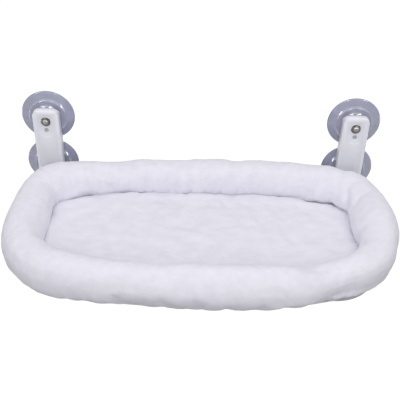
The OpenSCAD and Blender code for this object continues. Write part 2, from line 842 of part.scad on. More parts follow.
at_side(-1) upright();  // upright_left
at_side(1) upright();  // upright_right
cup_at(-1, 1);  // cup_upper_left
cup_at(1, 1);  // cup_upper_right
cup_at(-1, -1);  // cup_lower_left
cup_at(1, -1);  // cup_lower_right
stud_at(-1, 1);  // stud_upper_left
stud_at(1, 1);  // stud_upper_right
stud_at(-1, -1);  // stud_lower_left
stud_at(1, -1);  // stud_lower_right
washer_at(-1, 1);  // washer_upper_left
washer_at(1, 1);  // washer_upper_right
washer_at(-1, -1);  // washer_lower_left
washer_at(1, -1);  // washer_lower_right
nut_at(-1, 1);  // nut_upper_left
nut_at(1, 1);  // nut_upper_right
nut_at(-1, -1);  // nut_lower_left
nut_at(1, -1);  // nut_lower_right
hinge_bolt(-1);  // hinge_bolt_left
hinge_bolt(1);  // hinge_bolt_right
friction_washers(-1);  // friction_washers_left
friction_washers(1);  // friction_washers_right
knob_washer(-1);  // knob_washer_left
knob_washer(1);  // knob_washer_right
knob(-1);  // knob_left
knob(1);  // knob_right
knob_insert(-1);  // knob_insert_left
knob_insert(1);  // knob_insert_right
arm(-1);  // arm_left
arm(1);  // arm_right
side_tube(-1);  // side_tube_left
side_tube(1);  // side_tube_right
front_ferrule();
rear_tube();
tube_screws();
sling_panel();
sling_side_sleeve();
sling_rear_sleeve();
zip_tapes();
zip_teeth();
zip_slider();
zip_pull();
hook_strips();
loop_strips();
bed_base();
pad_cover();
pad_filling();
rim_cover();
rim_filling();
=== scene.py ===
import math

import bpy
from mathutils import Matrix, Vector, noise
from mathutils.bvhtree import BVHTree


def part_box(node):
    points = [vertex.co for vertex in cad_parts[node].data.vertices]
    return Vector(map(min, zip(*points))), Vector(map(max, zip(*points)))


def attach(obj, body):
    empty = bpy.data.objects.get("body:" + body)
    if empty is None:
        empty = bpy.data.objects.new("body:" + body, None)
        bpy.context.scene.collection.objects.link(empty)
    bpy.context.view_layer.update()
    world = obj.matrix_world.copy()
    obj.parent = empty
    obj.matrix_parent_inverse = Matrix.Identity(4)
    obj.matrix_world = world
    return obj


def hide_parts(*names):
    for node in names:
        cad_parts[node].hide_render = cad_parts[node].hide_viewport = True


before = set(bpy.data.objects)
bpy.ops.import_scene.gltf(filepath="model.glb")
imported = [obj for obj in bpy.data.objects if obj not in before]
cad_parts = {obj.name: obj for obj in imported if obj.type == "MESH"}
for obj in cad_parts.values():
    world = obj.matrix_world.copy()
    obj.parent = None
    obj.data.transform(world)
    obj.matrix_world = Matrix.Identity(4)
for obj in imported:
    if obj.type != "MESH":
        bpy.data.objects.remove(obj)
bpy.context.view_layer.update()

# Studio: the perch hangs in front of a plain white ground, well above a pale floor, under large
# soft lamps and an even white sky. The camera stands in front and looks down on the bed.
camera_place = Vector((-0.00134, -0.98297, 0.57733))
camera_yaw, camera_pitch, camera_roll = 0.0030, 0.6158, 0.0253
photo_width_px, focal_px = 400, 688.67
sensor_mm, view_reach = 36, 100
floor_drop, floor_size = 0.85, 14.0
floor_grey, floor_glow, floor_roughness = 0.32, 0.82, 0.9
sky_colour, sky_strength = (0.97, 0.97, 1.0, 1.0), 0.56
bed_aim, cup_aim_x = (0, -0.15, 0), 0.24


def only(obj):
    """Selects one object and nothing else."""
    for other in list(bpy.context.selected_objects):
        other.select_set(False)
    obj.hide_set(False)
    obj.select_set(True)
    bpy.context.view_layer.objects.active = obj


def soft_lamp(name, place, aim, size, watts):
    """A rectangular lamp that shines from its place towards its aim."""
    bpy.ops.object.light_add(type="AREA", location=place)
    lamp = bpy.context.object
    lamp.name = name
    lamp.data.shape = "RECTANGLE"
    lamp.data.size, lamp.data.size_y = size
    lamp.data.energy = watts
    lamp.rotation_euler = (Vector(aim) - Vector(place)).to_track_quat("-Z", "Y").to_euler()
    return lamp


def seen_ray(nodes, links):
    """1 for camera, glossy and transmission rays, 0 for the light that falls on things."""
    rays = nodes.new("ShaderNodeLightPath")
    first = nodes.new("ShaderNodeMath")
    first.operation = "MAXIMUM"
    links.new(rays.outputs["Is Camera Ray"], first.inputs[0])
    links.new(rays.outputs["Is Glossy Ray"], first.inputs[1])
    second = nodes.new("ShaderNodeMath")
    second.operation = "MAXIMUM"
    links.new(first.outputs[0], second.inputs[0])
    links.new(rays.outputs["Is Transmission Ray"], second.inputs[1])
    return second.outputs[0]


# The loaded nodes come selected.
for selected in list(bpy.context.selected_objects):
    selected.select_set(False)

forward = Vector((
    math.sin(camera_yaw) * math.cos(camera_pitch),
    math.cos(camera_yaw) * math.cos(camera_pitch),
    -math.sin(camera_pitch),
))
right = Vector((math.cos(camera_yaw), -math.sin(camera_yaw), 0))
upward = right.cross(forward)
rolled_right = right * math.cos(camera_roll) + upward * math.sin(camera_roll)
rolled_up = upward * math.cos(camera_roll) - right * math.sin(camera_roll)
bpy.ops.object.camera_add(location=camera_place)
camera = bpy.context.object
camera.rotation_euler = Matrix((rolled_right, rolled_up, -forward)).transposed().to_euler()
camera.data.sensor_width = sensor_mm
camera.data.lens = focal_px * sensor_mm / photo_width_px
camera.data.clip_end = view_reach
bpy.context.scene.camera = camera
bpy.context.scene.view_settings.view_transform = "Standard"

bpy.ops.mesh.primitive_plane_add(size=floor_size, location=(0, 0, -floor_drop))
floor = bpy.context.object
floor.name = "studio_floor"
floor_paint = bpy.data.materials.new("studio_floor")
floor_paint.use_nodes = True
nodes, links = floor_paint.node_tree.nodes, floor_paint.node_tree.links
floor_shader = nodes["Principled BSDF"]
floor_shader.inputs["Base Color"].default_value = (floor_grey, floor_grey, floor_grey, 1)
floor_shader.inputs["Roughness"].default_value = floor_roughness
floor_light = nodes.new("ShaderNodeEmission")
floor_scale = nodes.new("ShaderNodeMath")
floor_scale.operation = "MULTIPLY"
floor_scale.inputs[1].default_value = floor_glow
links.new(seen_ray(nodes, links), floor_scale.inputs[0])
links.new(floor_scale.outputs[0], floor_light.inputs["Strength"])
floor_sum = nodes.new("ShaderNodeAddShader")
links.new(floor_shader.outputs[0], floor_sum.inputs[0])
links.new(floor_light.outputs[0], floor_sum.inputs[1])
links.new(floor_sum.outputs[0], nodes["Material Output"].inputs["Surface"])
floor.data.materials.append(floor_paint)

world = bpy.data.worlds.new("studio_sky")
bpy.context.scene.world = world
world.use_nodes = True
nodes, links = world.node_tree.nodes, world.node_tree.links
nodes.clear()
sky_light = nodes.new("ShaderNodeBackground")
sky_light.inputs["Color"].default_value = sky_colour
sky_light.inputs["Strength"].default_value = sky_strength
sky_seen = nodes.new("ShaderNodeBackground")
sky_seen.inputs["Color"].default_value = (1, 1, 1, 1)
sky_mix = nodes.new("ShaderNodeMixShader")
links.new(seen_ray(nodes, links), sky_mix.inputs[0])
links.new(sky_light.outputs[0], sky_mix.inputs[1])
links.new(sky_seen.outputs[0], sky_mix.inputs[2])
links.new(sky_mix.outputs[0], nodes.new("ShaderNodeOutputWorld").inputs["Surface"])

soft_lamp("lamp_overhead", (0.0, -0.4, 1.9), bed_aim, (3.0, 2.4), 14.5)
soft_lamp("lamp_front", (0.0, -1.6, 1.0), bed_aim, (2.4, 1.0), 11)
# The narrow lamps only show as reflections in glossy surfaces, and light nothing.
narrow_lamps = [soft_lamp("strip_middle", (0.0, -1.1, 0.95), (0, 0, 0), (0.18, 0.9), 7)]
for away in (-1, 1):
    cups_aim = (cup_aim_x * away, 0, 0)
    narrow_lamps += [
        soft_lamp("strip_near", (0.9 * away, -0.95, 0.86), cups_aim, (0.24, 0.9), 9),
        soft_lamp("strip_side", (1.75 * away, -0.55, 0.2), cups_aim, (0.12, 2.2), 12),
    ]
for lamp in narrow_lamps:
    lamp.visible_diffuse = False

# Uprights: two U-shaped mouldings of white ABS, open towards the glass, with sloped front edges, a
# sunk oval round the upper nut, a blind hole below it with painted shade, and two cheeks at the foot.
# Each is clamped on its cups' two studs.
sides = ("left", "right")
levels = ("upper", "lower")
crease_angle, flat_angle, merge_distance = math.radians(32), math.radians(0.6), 0.00001
upright_round, upright_white, hole_shade_grey = 0.0006, (0.82, 0.82, 0.875), (0.46, 0.46, 0.49)
side_x, stud_z = 0.246, 0.04315
hole_drop, hole_r, hole_deep, front_face = 0.0145, 0.0037, 0.0035, -0.0248
cloud_size, scuff_size, peel_size, peel_height = 0.025, 0.004, 0.0011, 0.00004


def cad_copy(node, name):
    """A merged copy of a CAD node's mesh, as an object of its own."""
    obj = bpy.data.objects.new(name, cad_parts[node].data.copy())
    bpy.context.scene.collection.objects.link(obj)
    obj.data.materials.clear()
    only(obj)
    bpy.ops.mesh.customdata_custom_splitnormals_clear()
    bpy.ops.object.mode_set(mode="EDIT")
    bpy.ops.mesh.select_all(action="SELECT")
    bpy.ops.mesh.remove_doubles(threshold=merge_distance)
    bpy.ops.object.mode_set(mode="OBJECT")
    return obj


def flat_faces_joined(obj):
    """Joins the triangles of each flat face."""
    only(obj)
    bpy.ops.object.mode_set(mode="EDIT")
    bpy.ops.mesh.select_all(action="SELECT")
    bpy.ops.mesh.dissolve_limited(angle_limit=flat_angle)
    bpy.ops.object.mode_set(mode="OBJECT")


def smooth_by_angle(obj, angle=crease_angle):
    """Shades a piece smooth, apart from its creases."""
    only(obj)
    bpy.ops.object.shade_smooth_by_angle(angle=angle)


def rounded_edges(obj, width, segments=2):
    """Breaks the sharp edges of a moulding."""
    only(obj)
    bpy.ops.object.modifier_add(type="BEVEL")
    bevel = obj.modifiers[-1]
    bevel.width = width
    bevel.segments = segments
    bevel.limit_method = "ANGLE"
    bevel.angle_limit = crease_angle
    bevel.harden_normals = False
    bpy.ops.object.modifier_apply(modifier=bevel.name)
    smooth_by_angle(obj)


def finish(name, colour, roughness, metallic=0.0):
    """A new material; returns it with its nodes, links and shader."""
    made = bpy.data.materials.new(name)
    made.use_nodes = True
    nodes, links = made.node_tree.nodes, made.node_tree.links
    shader = nodes["Principled BSDF"]
    shader.inputs["Base Color"].default_value = (*colour, 1)
    shader.inputs["Roughness"].default_value = roughness
    shader.inputs["Metallic"].default_value = metallic
    return made, nodes, links, shader


def grain(nodes, links, size, stretch=(1, 1, 1), detail=2.0, source="Object"):
    """Noise with grains of a given size in metres, drawn on the piece's own coordinates."""
    place = nodes.new("ShaderNodeTexCoord")
    mapping = nodes.new("ShaderNodeMapping")
    mapping.inputs["Scale"].default_value = [s / size for s in stretch]
    links.new(place.outputs[source], mapping.inputs["Vector"])
    texture = nodes.new("ShaderNodeTexNoise")
    texture.inputs["Scale"].default_value = 1.0
    texture.inputs["Detail"].default_value = detail
    links.new(mapping.outputs["Vector"], texture.inputs["Vector"])
    return texture.outputs["Fac"]


def mottle(nodes, links, value, dark, light, socket, low=0.35, high=0.65):
    """Colours a socket between two colours by a value."""
    ramp = nodes.new("ShaderNodeValToRGB")
    ramp.color_ramp.elements[0].position = low
    ramp.color_ramp.elements[1].position = high
    ramp.color_ramp.elements[0].color = (*dark, 1)
    ramp.color_ramp.elements[1].color = (*light, 1)
    links.new(value, ramp.inputs["Fac"])
    links.new(ramp.outputs["Color"], socket)


def between(nodes, links, value, low, high, socket):
    """Drives a number socket between two numbers by a value."""
    reach = nodes.new("ShaderNodeMapRange")
    reach.inputs["From Min"].default_value = 0.3
    reach.inputs["From Max"].default_value = 0.7
    reach.inputs["To Min"].default_value = low
    reach.inputs["To Max"].default_value = high
    links.new(value, reach.inputs["Value"])
    links.new(reach.outputs["Result"], socket)


def raised(nodes, links, shader, value, height, strength=1.0, under=None):
    """Raises the surface by a value, over an earlier bump if there is one."""
    bump = nodes.new("ShaderNodeBump")
    bump.inputs["Strength"].default_value = strength
    bump.inputs["Distance"].default_value = height
    links.new(value, bump.inputs["Height"])
    if under:
        links.new(under, bump.inputs["Normal"])
    links.new(bump.outputs["Normal"], shader.inputs["Normal"])
    return bump.outputs["Normal"]


def shades(colour, spread):
    """A darker and a lighter neighbour of a colour."""
    return [c * (1 - spread) for c in colour], [min(1, c * (1 + spread)) for c in colour]


def moulded_plastic(name, colour, roughness=0.36):
    """ABS as it leaves the mould: fine orange peel, faint cloudiness, uneven gloss."""
    made, nodes, links, shader = finish(name, colour, roughness)
    cloud = grain(nodes, links, cloud_size)
    mottle(nodes, links, cloud, *shades(colour, 0.012), shader.inputs["Base Color"])
    scuff = grain(nodes, links, scuff_size, (1, 1, 0.25), 3)
    between(nodes, links, scuff, roughness - 0.05, roughness + 0.08, shader.inputs["Roughness"])
    raised(nodes, links, shader, grain(nodes, links, peel_size), peel_height, 0.5)
    return made


def dressed(obj, material, body, slot, *nodes_replaced):
    """Gives a piece its material, its body and the CAD nodes that it stands for. The slot is not used."""
    obj.data.materials.clear()
    obj.data.materials.append(material)
    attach(obj, body)
    if nodes_replaced:
        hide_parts(*nodes_replaced)
    return obj


upright_abs = moulded_plastic("upright_abs", upright_white, 0.34)
upright_hole_painted_shade = moulded_plastic("upright_hole_painted_shade", hole_shade_grey, 0.5)
for side in sides:
    upright = cad_copy(f"upright_{side}", f"upright_moulding_{side}")
    flat_faces_joined(upright)
    rounded_edges(upright, upright_round)
    dressed(upright, upright_abs, "root", "upright_plastic", f"upright_{side}")
    upright.data.materials.append(upright_hole_painted_shade)
    middle = math.copysign(side_x, upright.data.vertices[0].co.x)
    # Faces inside the blind hole get the darker grey: painted shade in the hole.
    for polygon in upright.data.polygons:
        across, drop = polygon.center.x - middle, polygon.center.z - stud_z + hole_drop
        sunk = front_face < polygon.center.y < front_face + hole_deep
        if math.hypot(across, drop) < hole_r and sunk:
            polygon.material_index = 1

# Suction cups: soft greyish clear PVC, moulded in one piece round the stud's head, with a thin
# skirt, a flat sealing ring at its edge and a boss that rises in a hollow curve under the upright.
cup_r, lip_t, seal_w, dish_depth = 0.0425, 0.0012, 0.004, 0.0045
boss_r, boss_depth, skirt_depth, shoulder_r = 0.0155, 0.018, 0.008, 0.001
root_r = boss_depth - skirt_depth
step_r, step_depth, step_round, step_edge = 0.0312, 0.0046, 0.0028, 0.0012
skirt_hollow, skirt_steps, dish_steps = 0.85, 12, 10
# Arcs of the cup's section: start and end in degrees, from outwards towards the room, and steps.
shoulder_arc, root_arc, step_arc, lip_arc = (90, 0, 5), (188, 270, 9), (86, 38, 6), (75, -90, 5)
stud_r, stud_head_r, stud_head_t, stud_head_depth = 0.004, 0.012, 0.003, 0.009
moulded_room = 0.00005
lathe_steps = 72
cup_grey, lip_shade_grey = (0.385, 0.395, 0.525), (0.25, 0.26, 0.34)
thick_shade, boss_shade, pvc_ior, pvc_clear, coat_roughness = 0.35, 0.4, 1.5, 0.3, 0.06


def clipped(value):
    """A value held between 0 and 1."""
    return min(1, max(0, value))


def lathe(name, place, profile, steps=lathe_steps):
    """Spins a profile of (radius, depth into the room) points about a stud's axis."""
    bpy.ops.mesh.primitive_plane_add(size=0.001)
    obj = bpy.context.object
    obj.name = name
    only(obj)
    start = Vector((profile[0][0], -profile[0][1], 0)) + Vector(place)
    bpy.ops.object.mode_set(mode="EDIT")
    bpy.ops.mesh.select_all(action="SELECT")
    bpy.ops.mesh.merge(type="CENTER")
    bpy.ops.transform.translate(value=start)
    for (r0, d0), (r1, d1) in zip(profile, profile[1:]):
        bpy.ops.mesh.extrude_region_move(TRANSFORM_OT_translate={"value": (r1 - r0, d0 - d1, 0)})
    bpy.ops.mesh.select_all(action="SELECT")
    bpy.ops.mesh.spin(steps=steps, angle=2 * math.pi, center=place, axis=(0, 1, 0))
    bpy.ops.mesh.select_all(action="SELECT")
    bpy.ops.mesh.remove_doubles(threshold=merge_distance / 2)
    bpy.ops.mesh.normals_make_consistent(inside=False)
    bpy.ops.object.mode_set(mode="OBJECT")
    smooth_by_angle(obj)
    return obj


def arc(centre, radius, start, end, steps):
    """Points of an arc in a profile, in degrees from outwards towards the room."""
    turns = [math.radians(start + (end - start) * i / steps) for i in range(steps + 1)]
    return [(centre[0] + radius * math.cos(t), centre[1] + radius * math.sin(t)) for t in turns]


def skirt_outside(share):
    """A point of the skirt's outer face, from the lip at 0 to the step at 1."""
    return cup_r + (step_r - cup_r) * share, lip_t + (step_depth - lip_t) * share ** skirt_hollow


lip_round = lip_t / 2
cup_profile = [(0, stud_head_depth - moulded_room)]
cup_profile += [(stud_head_r + moulded_room, stud_head_depth - moulded_room)]
cup_profile += [(stud_head_r + moulded_room, stud_head_depth + stud_head_t + moulded_room)]
cup_profile += [(stud_r + moulded_room, stud_head_depth + stud_head_t + moulded_room)]
cup_profile += [(stud_r + moulded_room, boss_depth)]
cup_profile += arc((boss_r - shoulder_r, boss_depth - shoulder_r), shoulder_r, *shoulder_arc)
cup_profile += arc((boss_r + root_r, boss_depth), root_r, *root_arc)
step_centre = (step_r - step_round - step_edge, skirt_depth - step_round)
cup_profile += arc(step_centre, step_round, *step_arc)
cup_profile += [skirt_outside(i / skirt_steps) for i in range(skirt_steps, 0, -1)]
cup_profile += arc((cup_r - lip_round, lip_round), lip_round, *lip_arc)
cup_profile += [
    ((cup_r - seal_w) * (1 - i / dish_steps), dish_depth * math.sin(math.pi / 2 * i / dish_steps))
    for i in range(dish_steps + 1)
]


def clear_pvc(name, colour, roughness, coat):
    """Cloudy soft PVC, darker in the boss and its hollow than in the thin skirt: partly the thicker PVC,
    partly painted shade.
    """
    made, nodes, links, shader = finish(name, colour, roughness)
    cloud = grain(nodes, links, 0.012, detail=3)
    mottle(nodes, links, cloud, *shades(colour, 0.05), shader.inputs["Base Color"])
    thick = nodes.new("ShaderNodeAttribute")
    thick.attribute_name = "boss_thick_and_shade"
    deeper = nodes.new("ShaderNodeMix")
    deeper.data_type = "RGBA"
    links.new(thick.outputs["Fac"], deeper.inputs["Factor"])
    links.new(shader.inputs["Base Color"].links[0].from_socket, deeper.inputs["A"])
    deeper.inputs["B"].default_value = [c * thick_shade for c in colour] + [1]
    links.new(deeper.outputs["Result"], shader.inputs["Base Color"])
    shader.inputs["IOR"].default_value = pvc_ior
    shader.inputs["Transmission Weight"].default_value = pvc_clear
    shader.inputs["Coat Weight"].default_value = coat
    shader.inputs["Coat Roughness"].default_value = coat_roughness
    raised(nodes, links, shader, grain(nodes, links, 0.006), 0.0001, 0.35)
    return made


cup_pvc = clear_pvc("cup_pvc", cup_grey, 0.16, 1.0)
lip_shade_pvc = clear_pvc("cup_lip_pvc", lip_shade_grey, 0.5, 0.0)
for level, height in zip(levels, (stud_z, -stud_z)):
    for side, x in zip(sides, (-side_x, side_x)):
        cup = lathe(f"suction_cup_{level}_{side}", (x, 0, height), cup_profile)
        # The boss and its hollow are darkened: partly for the thicker PVC, partly as painted shade under
        # the upright.
        boss_thick_and_shade = cup.data.attributes.new("boss_thick_and_shade", "FLOAT", "POINT")
        for v, share in zip(cup.data.vertices, boss_thick_and_shade.data):
            away = math.hypot(v.co.x - x, v.co.z - height)
            share.value = boss_shade * clipped(2 - away / boss_r)
        dressed(cup, cup_pvc, "root", "cup_pvc", f"cup_{level}_{side}")
        cup.data.materials.append(lip_shade_pvc)
        # The lip's edge gets the darker PVC: a painted shade line round the edge.
        for polygon in cup.data.polygons:
            away = math.hypot(polygon.center.x - x, polygon.center.z - height)
            polygon.material_index = int(away > cup_r - lip_t)

# Studs, washers and nuts: zinc-plated M8 steel. Each stud's head is moulded into its cup, and its
# thread comes through the upright, where a washer and a hexagon nut clamp it.
stud_end, thread_start, thread_pitch, thread_depth = 0.0268, 0.0182, 0.00125, 0.0005
end_chamfer, stud_steps = 0.0008, 36
# The nuts' zinc is painted darker than the studs': painted shade and painted dark reflection.
zinc_grey, nut_shade_grey = (0.33, 0.32, 0.30), (0.19, 0.18, 0.165)


def plated_steel(name, colour, roughness, mark=0.0012):
    """Turned or pressed steel: fine tool marks, uneven dull spots."""
    made, nodes, links, shader = finish(name, colour, roughness, 1.0)
    mottle(nodes, links, grain(nodes, links, 0.004), *shades(colour, 0.14), shader.inputs["Base Color"])
    spots = grain(nodes, links, mark, detail=4)
    between(nodes, links, spots, roughness - 0.08, roughness + 0.14, shader.inputs["Roughness"])
    raised(nodes, links, shader, grain(nodes, links, mark / 4, detail=3), 0.00003, 0.5)
    return made


def refinished(node, material):
    """Gives a CAD node that stays a better material."""
    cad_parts[node].data.materials.clear()
    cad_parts[node].data.materials.append(material)


zinc_steel = plated_steel("zinc_steel", zinc_grey, 0.30)
nut_steel_painted_dark = plated_steel("nut_steel_painted_dark", nut_shade_grey, 0.24)
turns = int((stud_end - end_chamfer - thread_start) / thread_pitch)
stud_profile = [(0, stud_head_depth), (stud_head_r, stud_head_depth)]
stud_profile += [(stud_head_r, stud_head_depth + stud_head_t), (stud_r, stud_head_depth + stud_head_t)]
for i in range(turns):
    crest = thread_start + i * thread_pitch
    stud_profile += [(stud_r, crest), (stud_r - thread_depth, crest + thread_pitch / 2)]
stud_profile += [(stud_r, thread_start + turns * thread_pitch), (stud_r, stud_end - end_chamfer)]
stud_profile += [(stud_r - end_chamfer, stud_end), (0, stud_end)]
for level, height in zip(levels, (stud_z, -stud_z)):
    for side, x in zip(sides, (-side_x, side_x)):
        stud = lathe(f"threaded_stud_{level}_{side}", (x, 0, height), stud_profile, stud_steps)
        dressed(stud, zinc_steel, "root", "zinc_steel", f"stud_{level}_{side}")
        refinished(f"washer_{level}_{side}", zinc_steel)
        refinished(f"nut_{level}_{side}", nut_steel_painted_dark)

# Hinges: a carriage bolt through the cheeks of each upright, two fibre washers that grip the arm's
# hub, a steel washer outside, and a lobed hand knob with a brass insert that clamps them together.
fibre_colour, knob_colour, brass_colour = (0.10, 0.095, 0.09), (0.62, 0.62, 0.66), (0.72, 0.55, 0.28)
knob_round = 0.0012

friction_fibre, nodes, links, shader = finish("friction_fibre", fibre_colour, 0.8)
fibres = grain(nodes, links, 0.0008, (1, 0.2, 1), 5)
mottle(nodes, links, fibres, *shades(fibre_colour, 0.4), shader.inputs["Base Color"])
raised(nodes, links, shader, fibres, 0.0001, 0.6)
insert_brass = plated_steel("insert_brass", brass_colour, 0.28, 0.0008)
knob_plastic = moulded_plastic("knob_plastic", knob_colour, 0.45)
for side in sides:
    refinished(f"hinge_bolt_{side}", zinc_steel)
    refinished(f"knob_washer_{side}", zinc_steel)
    refinished(f"friction_washers_{side}", friction_fibre)
    refinished(f"knob_insert_{side}", insert_brass)
    knob = cad_copy(f"knob_{side}", f"hand_knob_{side}")
    flat_faces_joined(knob)
    rounded_edges(knob, knob_round, 3)
    dressed(knob, knob_plastic, f"knob_{side}", "knob_plastic", f"knob_{side}")

# Arms: two moulded blocks with a hub on the hinge line, a heel that stops against the upright, and
# bored sockets for the ends of the side tube and the rear tube, each held by a screw from below.
arm_white, arm_round = (0.74, 0.74, 0.78), 0.001
arm_abs = moulded_plastic("arm_abs", arm_white, 0.42)
for side in sides:
    arm = cad_copy(f"arm_{side}", f"arm_moulding_{side}")
    flat_faces_joined(arm)
    rounded_edges(arm, arm_round, 3)
    dressed(arm, arm_abs, "bed", "arm_plastic", f"arm_{side}")

# Tube frame: two J-shaped tubes and a cross tube of 16 mm steel under light grey powder paint, with
# a plain steel ferrule in the middle of the front and four zinc-plated screws.
tube_grey = (0.42, 0.42, 0.45)
tube_paint, nodes, links, shader = finish("tube_paint", tube_grey, 0.42)
mottle(nodes, links, grain(nodes, links, 0.02), *shades(tube_grey, 0.04), shader.inputs["Base Color"])
raised(nodes, links, shader, grain(nodes, links, 0.0014), 0.00008, 0.6)
for node in ("side_tube_left", "side_tube_right", "rear_tube"):
    refinished(node, tube_paint)
for node in ("front_ferrule", "tube_screws"):
    refinished(node, zinc_steel)

# Sling: light grey Oxford cloth. A flat panel with a slit near its rear edge is sewn to sleeves that
# run round the side and front tubes and along the rear tube, and it sags a little under the bed.
cloth_t, cloth_grey = 0.0012, (0.60, 0.60, 0.64)
tube_y_front, tube_y_rear, tube_z, frame_bend = -0.280, -0.072, -0.07615, 0.055
sling_sag, crumple_share, yarn = 0.0018, 0.25, 0.0009
sleeve_mid, sleeve_mouth, sleeve_x = 0.0088, -0.122, 0.229
sleeve_points, sleeve_crease = 28, math.radians(60)
side_steps, bend_steps, front_steps, rear_steps = 8, 14, 24, 32
sheet_step, sheet_flat, face_room = 0.014, 0.01, 0.0003


def sagged(x, y, depth):
    """How far a cloth held on the frame hangs at a point, from 0 at the tubes."""
    middle_y, half_y = (tube_y_front + tube_y_rear) / 2, (tube_y_rear - tube_y_front) / 2
    across = max(0.0, 1 - (x / side_x) ** 2)
    along = max(0.0, 1 - ((y - middle_y) / half_y) ** 2)
    return depth * across ** 0.5 * along


def ripple(co, across, along, seed):
    """Smooth noise over a lying cloth, with about so many waves to the metre each way."""
    return noise.noise(Vector((co.x * across, co.y * along, seed)))


def sheet_from(node, name, top):
    """One face of a flat CAD cloth, cut into a fine grid."""
    obj = cad_copy(node, name)
    only(obj)
    bpy.ops.object.mode_set(mode="EDIT")
    bpy.ops.mesh.select_mode(type="FACE")
    bpy.ops.mesh.select_all(action="DESELECT")
    bpy.ops.object.mode_set(mode="OBJECT")
    for polygon in obj.data.polygons:
        polygon.select = not (polygon.normal.z > 0.9 and abs(polygon.center.z - top) < face_room)
    bpy.ops.object.mode_set(mode="EDIT")
    bpy.ops.mesh.delete(type="FACE")
    bpy.ops.mesh.select_mode(type="VERT")
    bpy.ops.mesh.select_all(action="SELECT")
    bpy.ops.mesh.dissolve_limited(angle_limit=sheet_flat)
    low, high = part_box(node)
    for axis, normal in ((0, (1, 0, 0)), (1, (0, 1, 0))):
        for i in range(1, int((high[axis] - low[axis]) / sheet_step) + 1):
            point = [0.0, 0.0, 0.0]
            point[axis] = low[axis] + i * sheet_step
            bpy.ops.mesh.select_all(action="SELECT")
            bpy.ops.mesh.bisect(plane_co=point, plane_no=normal)
    bpy.ops.object.mode_set(mode="OBJECT")
    return obj


def thickened(obj, thickness, offset=-1.0):
    """Gives a sheet the thickness of its cloth."""
    only(obj)
    bpy.ops.object.modifier_add(type="SOLIDIFY")
    obj.modifiers[-1].thickness = thickness
    obj.modifiers[-1].offset = offset
    bpy.ops.object.modifier_apply(modifier=obj.modifiers[-1].name)


def woven(name, colour, pitch, source="Object", roughness=0.85, height=0.00012):
    """Plain weave: warp and weft yarns that pass over each other, with slubs."""
    made, nodes, links, shader = finish(name, colour, roughness)
    place = nodes.new("ShaderNodeTexCoord")
    mapping = nodes.new("ShaderNodeMapping")
    mapping.inputs["Scale"].default_value = (1 / pitch, 1 / pitch, 1 / pitch)
    links.new(place.outputs[source], mapping.inputs["Vector"])
    yarns = []
    for direction in ("X", "Y"):
        wave = nodes.new("ShaderNodeTexWave")
        wave.bands_direction = direction
        wave.inputs["Scale"].default_value = 1 / math.pi
        wave.inputs["Distortion"].default_value = 0.4
        wave.inputs["Detail"].default_value = 1
        links.new(mapping.outputs["Vector"], wave.inputs["Vector"])
        yarns.append(wave.outputs["Fac"])
    weave = nodes.new("ShaderNodeMath")
    weave.operation = "MULTIPLY"
    links.new(yarns[0], weave.inputs[0])
    links.new(yarns[1], weave.inputs[1])
    slub = grain(nodes, links, 0.02, (1, 4, 1), 4)
    blend = nodes.new("ShaderNodeMath")
    blend.operation = "ADD"
    links.new(weave.outputs[0], blend.inputs[0])
    links.new(slub, blend.inputs[1])
    mottle(nodes, links, blend.outputs[0], *shades(colour, 0.07), shader.inputs["Base Color"], 0.4, 1.2)
    raised(nodes, links, shader, weave.outputs[0], height, 0.7)
    shader.inputs["Sheen Weight"].default_value = 0.15
    return made


sling_oxford = woven("sling_oxford", cloth_grey, yarn)
panel_low, panel_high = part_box("sling_panel")
panel = sheet_from("sling_panel", "sling_cloth_panel", panel_high.z)
for v in panel.data.vertices:
    hang = sagged(v.co.x, v.co.y, sling_sag)
    v.co.z -= hang * (1 + crumple_share * ripple(v.co, 22, 34, 3.1))
thickened(panel, cloth_t)
smooth_by_angle(panel)
dressed(panel, sling_oxford, "bed", "sling_cloth", "sling_panel")


def drawn_on(steps, across, along):
    """Draws the open end of a tube on by a distance, in even steps."""
    for _ in range(steps):
        bpy.ops.mesh.extrude_region_move(
            TRANSFORM_OT_translate={"value": (across / steps, along / steps, 0)})


def swept_sleeve(name, front):
    """A cloth tube round the U of the side and front tubes, or round the straight rear tube."""
    bpy.ops.mesh.primitive_circle_add(vertices=sleeve_points, radius=sleeve_mid)
    obj = bpy.context.object
    obj.name = name
    only(obj)
    bpy.ops.object.mode_set(mode="EDIT")
    bpy.ops.mesh.select_all(action="SELECT")
    turn = math.pi / 2
    if front:
        bpy.ops.transform.rotate(value=turn, orient_axis="X", center_override=(0, 0, 0))
        bpy.ops.transform.translate(value=(-side_x, sleeve_mouth, tube_z))
        bend_y, bend_x = tube_y_front + frame_bend, side_x - frame_bend
        drawn_on(side_steps, 0, bend_y - sleeve_mouth)
        bpy.ops.mesh.spin(steps=bend_steps, angle=turn, center=(-bend_x, bend_y, tube_z), axis=(0, 0, 1))
        drawn_on(front_steps, 2 * bend_x, 0)
        bpy.ops.mesh.spin(steps=bend_steps, angle=turn, center=(bend_x, bend_y, tube_z), axis=(0, 0, 1))
        drawn_on(side_steps, 0, sleeve_mouth - bend_y)
    else:
        bpy.ops.transform.rotate(value=turn, orient_axis="Y", center_override=(0, 0, 0))
        bpy.ops.transform.translate(value=(-sleeve_x, tube_y_rear, tube_z))
        drawn_on(rear_steps, 2 * sleeve_x, 0)
    bpy.ops.mesh.select_all(action="SELECT")
    bpy.ops.mesh.remove_doubles(threshold=merge_distance)
    bpy.ops.mesh.normals_make_consistent(inside=False)
    bpy.ops.object.mode_set(mode="OBJECT")
    thickened(obj, cloth_t, 0)
    smooth_by_angle(obj, sleeve_crease)
    return obj


front_sleeve = swept_sleeve("sling_sleeve_front", True)
dressed(front_sleeve, sling_oxford, "bed", "sling_cloth", "sling_side_sleeve")
rear_sleeve = swept_sleeve("sling_sleeve_rear", False)
dressed(rear_sleeve, sling_oxford, "bed", "sling_cloth", "sling_rear_sleeve")
u_length = 2 * (sleeve_mouth - tube_y_front - frame_bend) + math.pi * frame_bend
u_length += 2 * (side_x - frame_bend)

